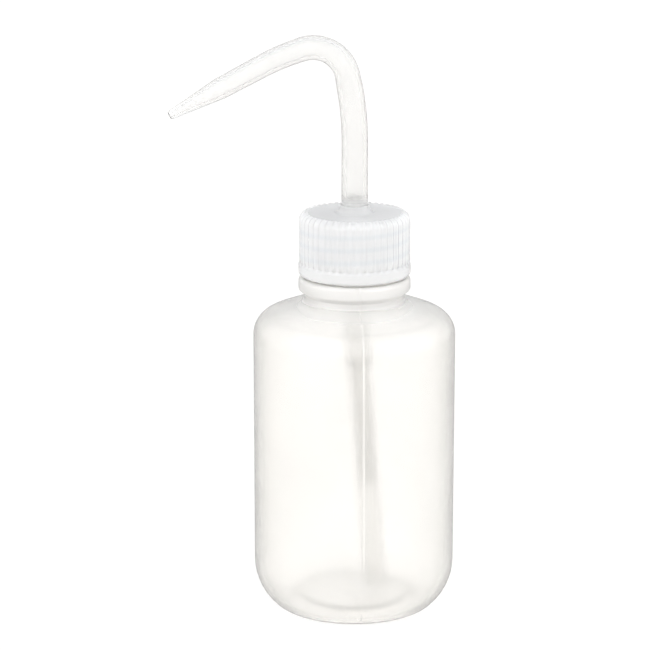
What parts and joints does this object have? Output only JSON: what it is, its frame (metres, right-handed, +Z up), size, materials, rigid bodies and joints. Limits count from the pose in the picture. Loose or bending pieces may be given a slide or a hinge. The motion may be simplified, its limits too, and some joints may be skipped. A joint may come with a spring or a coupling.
{
  "type": "wash bottle",
  "caption": "Translucent squeeze wash bottle with a ribbed screw cap, a bent tapered spout tube and a dip tube that reaches down to the floor.",
  "frame": {"origin": "centre of the ring that the bottle stands on, on the bottle's axis", "axes": "+Z up along the bottle's axis, the spout points along -X, +Y away from the viewer"},
  "size_m": [0.0719, 0.051, 0.1469],
  "materials": {
    "bottle_plastic": "translucent natural low-density polyethylene, satin",
    "cap_plastic": "translucent natural polypropylene, semi-gloss",
    "tube_plastic": "translucent natural polyethylene, semi-gloss"
  },
  "bodies": {
    "bottle": {"bottle": "bottle_plastic"},
    "tubes": {"spout_tube": "tube_plastic", "dip_tube": "tube_plastic"},
    "cap": {"screw_cap": "cap_plastic"}
  },
  "joints": [
    {"name": "cap_lift", "type": "slide", "parent": "bottle", "child": "tubes", "axis": [0, 0, 1], "range_m": [0, 0.0064]},
    {"name": "cap_turn", "type": "hinge", "parent": "tubes", "child": "cap", "pos_m": [0, 0, 0.095], "axis": [0, 0, 1], "range_deg": [0, 720]}
  ],
  "couplings": [
    {"joint": "cap_lift", "follows": "cap_turn", "m_per_rad": 0.00050532}
  ]
}
